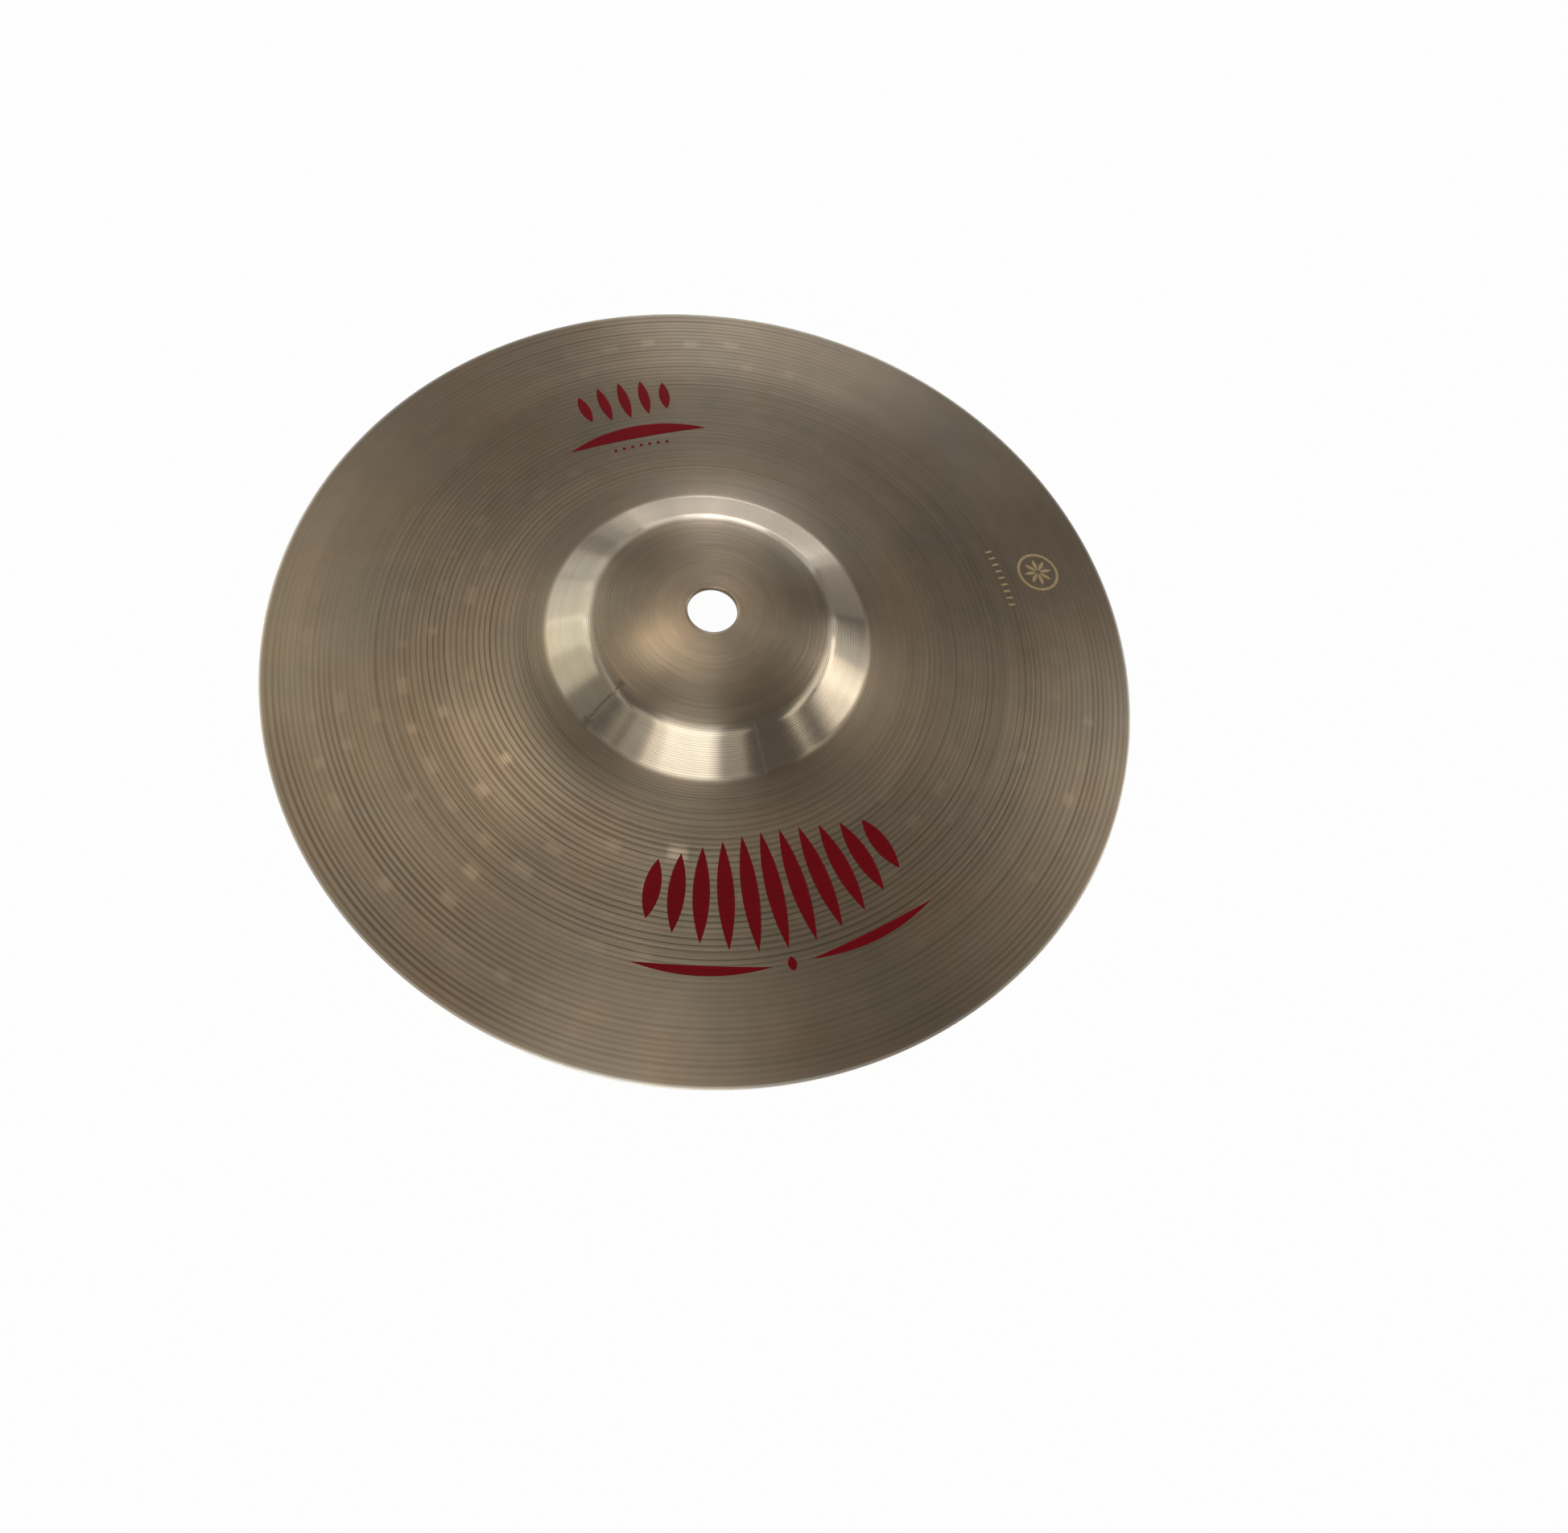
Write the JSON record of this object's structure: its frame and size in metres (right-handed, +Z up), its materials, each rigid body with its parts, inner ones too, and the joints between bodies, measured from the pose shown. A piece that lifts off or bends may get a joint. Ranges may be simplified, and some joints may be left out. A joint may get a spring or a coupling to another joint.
{
  "type": "splash cymbal",
  "caption": "Small thin bronze cymbal: a shallow lathed bow with a flattened bell and a centre hole that hangs on a stand's rod.",
  "frame": {"origin": "centre of the circle that the rim rests on", "axes": "+Z up along the hole's axis, from the open underside to the crown; -Y towards the large print; +X towards the small stamp near the rim"},
  "size_m": [0.2286, 0.2286, 0.0228],
  "materials": {
    "lathed_bronze": "lathed and hammered, semi-gloss",
    "crimson_ink": "thin printed ink, satin",
    "golden_ink": "thin printed ink, satin"
  },
  "bodies": {
    "root": {"cymbal_disc": "lathed_bronze", "front_print_rays": "crimson_ink", "front_print_arcs": "crimson_ink", "rear_print_rays": "crimson_ink", "rear_print_arcs": "crimson_ink", "edge_stamp_seal": "golden_ink", "edge_stamp_ticks": "golden_ink"}
  },
  "joints": []
}
